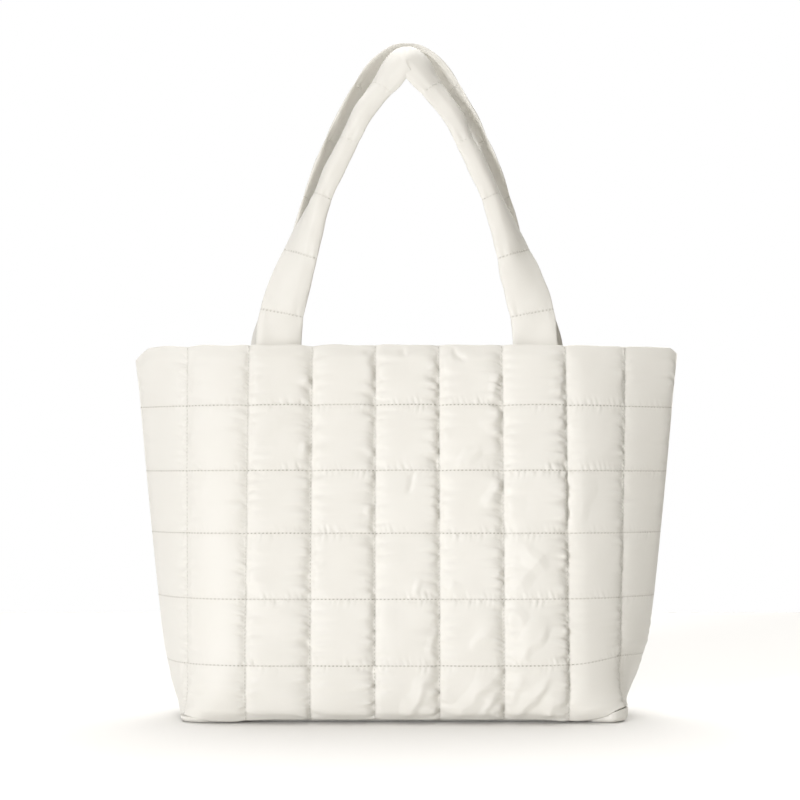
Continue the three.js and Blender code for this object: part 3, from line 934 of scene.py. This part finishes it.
# Smooth line through points: cubic pieces whose slopes weigh the two neighbouring chords, in even steps
def smoothLine(points, step):
    chord = np.linalg.norm(np.diff(points, axis=0), axis=-1) ** 0.5
    knots = np.concatenate([[0], np.cumsum(chord)])
    slope = np.diff(points, axis=0) / chord[:, None]
    before = chord[:-1, None]
    after = chord[1:, None]
    middle = (slope[:-1] * after + slope[1:] * before) / (before + after)
    ends = np.concatenate([slope[:1], middle, slope[-1:]])
    t = np.linspace(0, knots[-1], 4000)
    k = np.clip(np.searchsorted(knots, t, "right") - 1, 0, len(chord) - 1)
    w = ((t - knots[k]) / chord[k])[:, None]
    h = chord[k][:, None]
    dense = (
        (2 * w**3 - 3 * w**2 + 1) * points[k]
        + (w**3 - 2 * w**2 + w) * h * ends[k]
        + (3 * w**2 - 2 * w**3) * points[k + 1]
        + (w**3 - w**2) * h * ends[k + 1]
    )
    along = runLength(dense)
    even = np.linspace(0, along[-1], int(along[-1] / step) + 1)
    return np.stack([np.interp(even, along, dense[:, c]) for c in range(3)], -1), even


# Middle line of a strap: its tail lies behind the wall, and its legs lean together and meet at the crown
def strapCurve(line):
    clear = strap["tailClearance"] + strap["tailThick"] / 2
    outs, heights = np.array(line["line"]).T
    outs = np.concatenate([outs[:1], outs])
    ups = np.concatenate([[-strap["tail"]], heights])
    wallDeep = lookUp(leftDeep, 0 * ups, np.minimum(rimHeight + ups, rimHeight)) + wall["gap"] / 2 - clear
    leaning = wallDeep[1] + (line["crownDepth"] - wallDeep[1]) * ease(ups, 0, strap["meet"])
    deep = np.where(ups < 0, wallDeep, leaning)
    leg = np.stack([-outs, line["side"] * deep, rimHeight + ups], -1)
    other = leg[-2::-1] * np.array([-1, 1, 1])
    return smoothLine(np.concatenate([leg, other]), strap["step"])


# Place across a folded section: its slope turns from one flange to the other at the fold.
# Running sums of the slope's cosine and sine from the fold give how far inward and how deep each point lies
def foldedPlace(place, fold, twist, foldAngle):
    tableEnd = 1.1
    table = np.linspace(-tableEnd, tableEnd, 221)
    spacing = table[1] - table[0]
    middles = (table[1:] + table[:-1]) / 2
    slope = twist - foldAngle * np.tanh((middles - fold) / strap["foldSoft"])
    step = spacing * strap["width"] / 2
    inward = runningSum(np.cos(slope)) * step
    deep = runningSum(np.sin(slope)) * step
    atFold, outerEdge, innerEdge = [int(round((at + tableEnd) / spacing)) for at in (fold, -1, 1)]
    inward = inward - inward[:, atFold:atFold + 1]
    deep = deep - deep[:, atFold:atFold + 1]
    outer = np.minimum(0, inward[:, outerEdge:outerEdge + 1])
    inward = inward - (inward[:, innerEdge:innerEdge + 1] + outer) / 2
    k = np.clip((place + tableEnd) / spacing, 0, len(table) - 1.001)
    k0 = k.astype(int)
    row = np.arange(len(place))[:, None]
    offset, depth = [t[row, k0] * (1 - k + k0) + t[row, k0 + 1] * (k - k0) for t in (inward, deep)]
    return twist - foldAngle * np.tanh((place - fold) / strap["foldSoft"]), offset, depth


# A section carried along the strap's line, turned and folded; its thickness swells between cross stitches
def makeStrap(name, node, line, seed):
    rng = np.random.default_rng(seed)
    middle, along = strapCurve(line)
    length = along[-1]
    above = np.minimum(along, length - along) - strap["tail"]
    legLength = length / 2 - strap["tail"]
    rising = ease(above, line["turnFrom"], line["turnTo"])
    back = ease(above, legLength - strap["crownLength"], legLength)
    angles = (line["twist"], line["foldAngle"])
    twist, foldAngle = [np.radians(leg * rising + (crown - leg) * back)[:, None] for leg, crown in angles]
    tangent = unit(np.gradient(middle, axis=0))
    inward = unit(np.stack([tangent[:, 2], 0 * along, -tangent[:, 0]], -1))
    # padding: full between cross stitches, thin at them and in the tails
    share = ((above - strap["firstCross"]) / pitch) % 1
    full = np.abs(np.sin(np.pi * share)) ** strap["puffFlatness"]
    puffed = strap["seam"] + (strap["puff"] - strap["seam"]) * full
    thick = strap["tailThick"] + (puffed - strap["tailThick"]) * ease(above, 0, strap["firstCross"] / 2)
    angle = np.arange(strap["around"]) * 2 * np.pi / strap["around"]
    wide = np.sign(np.cos(angle)) * np.abs(np.cos(angle)) ** strap["squareness"]
    nearCross = (share + 0.5) % 1 - 0.5
    d = np.abs(nearCross)[:, None] * pitch
    crossed = (above > strap["noCross"])[:, None]
    narrow, narrowReach = strap["pinch"]
    pinch = 1 - narrow * np.exp(-d / narrowReach) * crossed
    edgeWave = 1 + uneven(rng, strap["edgeWave"], along, 0 * along)
    place = wide[None, :] * edgeWave[:, None] * pinch
    slope, offset, deep = foldedPlace(place, line["fold"], twist, foldAngle)
    across = np.cos(slope)[..., None] * inward[:, None]
    across[..., 1] += line["side"] * np.sin(slope)
    normal = unit(np.cross(np.broadcast_to(tangent[:, None], across.shape), across))
    nearFold = np.exp(-(((place - line["fold"]) / strap["foldThinReach"]) ** 2))
    pressed = 1 - strap["foldThin"] * nearFold * foldAngle / np.radians(strap["fullFold"])
    height = np.sin(angle)[None, :] * thick[:, None] / 2 * pressed
    # gathers beside the cross stitches, and soft unevenness along the padding
    flatAcross = place * strap["width"] / 2
    crossNumber = (np.round(share) + 5 * np.sign(nearCross))[:, None] + 0 * place
    gather = uneven(rng, strap["gather"], flatAcross, crossNumber)
    height += np.sin(angle) * gather * np.exp(-d / strap["gather"][1]) * crossed
    height += np.sin(angle) * uneven(rng, strap["uneven"], along[:, None] + 0 * height, flatAcross)
    points = middle[:, None] + offset[..., None] * inward[:, None] + height[..., None] * normal
    points[..., 1] += line["side"] * deep
    rows, columns = points.shape[:2]
    quads = gridQuads(rows, columns, loopColumns=True)[:, ::-1]
    tris = endFans(rows, columns)
    ends = np.stack([points[0].mean(0), points[-1].mean(0)])
    allPoints = np.concatenate([points.reshape(-1, 3), ends])
    # cloth coordinates in metres: round the section, and along the strap
    girth = runLength(points[rows // 4])
    girth = np.append(girth, girth[-1] + girth[1])
    uvGrid = np.stack(np.meshgrid(girth, along), -1)
    uvIndex = gridQuads(rows, columns + 1)[:, ::-1]
    plain = np.zeros((len(tris) * 3, 2))
    cornerUv = np.concatenate([uvGrid.reshape(-1, 2)[uvIndex.ravel()], plain])
    # the painted stitch shade and the gathers of the cross stitches fade towards the crown
    fadeFrom, fadeTo, fadeBy = strap["shadeAndGatherFade"]
    faded = d * 1000 + fadeBy * ease(above, fadeFrom, fadeTo)[:, None]
    toCross = np.where(crossed, faded, farFromSeam) + 0 * place
    marks = {
        "toRow": np.append(toCross.ravel(), [farFromSeam, farFromSeam]),
        "toColumn": np.full(len(allPoints), farFromSeam),
    }
    piece = makePiece(name, allPoints, quads, tris, cornerUv, marks, strapCloth)
    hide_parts(node)
    print(name, "made,", len(quads) * 2 + len(tris), "triangles")
    # lines of the cross stitches, on both faces, from near one edge to near the other
    near = d[:, 0]
    nearest = (near[1:-1] <= near[:-2]) & (near[1:-1] < near[2:]) & (near[1:-1] < strap["step"])
    crossings = np.flatnonzero(nearest & crossed[1:-1, 0]) + 1
    half = columns // 2
    inset = strap["stitchInset"]
    faces = (np.arange(inset, half - inset + 1), np.arange(half + inset, columns - inset + 1))
    outward = normal * np.sign(np.sin(angle))[None, :, None]
    return [(points[row, face], outward[row, face]) for row in crossings for face in faces]


frontCrossings = makeStrap("frontStrap", "front_strap", frontStrapLine, 31)
backCrossings = makeStrap("backStrap", "back_strap", backStrapLine, 37)
makeStitches("frontStrapStitches", frontCrossings, thread, stitch["strapBold"])
makeStitches("backStrapStitches", backCrossings, thread, stitch["strapBold"])

# Studio: pale floor, soft key from the left, faint fill and soft box in front, wide light above and behind
studio = {
    "floor": {"Base Color": (0.92, 0.913, 0.90, 1), "Roughness": 0.9, "Specular IOR Level": 0.1},
    "floorReach": 1.0,
    "floorHeight": -0.0002,
    "surround": (1.0, 0.94, 0.82, 1),
    "surroundPower": 0.12,
    "backdrop": (1.0, 1.0, 1.0, 1),
    # name: power, turn to the right of the camera, height, spread, colour; degrees
    "lights": {
        "key": (1.78, -35.0, 8.0, 9.0, (0.985, 0.99, 1.03)),
        "front": (0.12, 5.0, 12.0, 50.0, (1.0, 0.97, 0.91)),
        "overhead": (3.2, 175.0, 66.0, 70.0, (1.0, 0.995, 0.988)),
    },
    # soft box before the straps: power, side, place, tilt down in degrees, colour
    "softBox": (1.9, 0.5, (0.0, -0.75, 0.85), 35.0, (1.0, 0.97, 0.91)),
}
floorMesh = bpy.data.meshes.new("floor")
floorCorners = np.full((4, 3), studio["floorHeight"])
floorCorners[:, :2] = np.array([(-1, -1), (1, -1), (1, 1), (-1, 1)]) * studio["floorReach"]
floorMesh.from_pydata(floorCorners.tolist(), [], [(0, 1, 2, 3)])
floor = addObject("floor", floorMesh)
floorPaint = bpy.data.materials.new("floorPaint")
floorPaint.use_nodes = True
setInputs(floorPaint.node_tree, floorPaint.node_tree.nodes["Principled BSDF"], studio["floor"])
floorMesh.materials.append(floorPaint)

for lightName, (power, turned, raised, spread, tint) in studio["lights"].items():
    lightData = bpy.data.lights.new(lightName, "SUN")
    lightData.energy = power
    lightData.color = tint
    lightData.angle = math.radians(spread)
    light = addObject(lightName, lightData)
    light.rotation_euler = (math.radians(90 - raised), 0, math.radians(turned))

boxPower, boxSide, boxPlace, tiltDown, boxTint = studio["softBox"]
boxData = bpy.data.lights.new("softBox", "AREA")
boxData.energy = boxPower
boxData.size = boxSide
boxData.color = boxTint
softBox = addObject("softBox", boxData)
softBox.location = boxPlace
softBox.rotation_euler = (math.radians(90 - tiltDown), 0, 0)
softBox.visible_camera = False

# World: a faint warm surround for the light, and a white backdrop for the camera
world = bpy.data.worlds.new("surround")
world.use_nodes = True
scene.world = world
worldTree = world.node_tree
lit = worldTree.nodes["Background"]
setInputs(worldTree, lit, {"Color": studio["surround"], "Strength": studio["surroundPower"]})
seen = addNode(worldTree, "ShaderNodeBackground", Color=studio["backdrop"])
ray = worldTree.nodes.new("ShaderNodeLightPath")
choose = addNode(worldTree, "ShaderNodeMixShader", Fac=ray.outputs["Is Camera Ray"])
setInputs(worldTree, choose, {1: lit.outputs["Background"], 2: seen.outputs["Background"]})
setInputs(worldTree, worldTree.nodes["World Output"], {"Surface": choose.outputs["Shader"]})
scene.view_settings.view_transform = "Standard"
print("studio made")
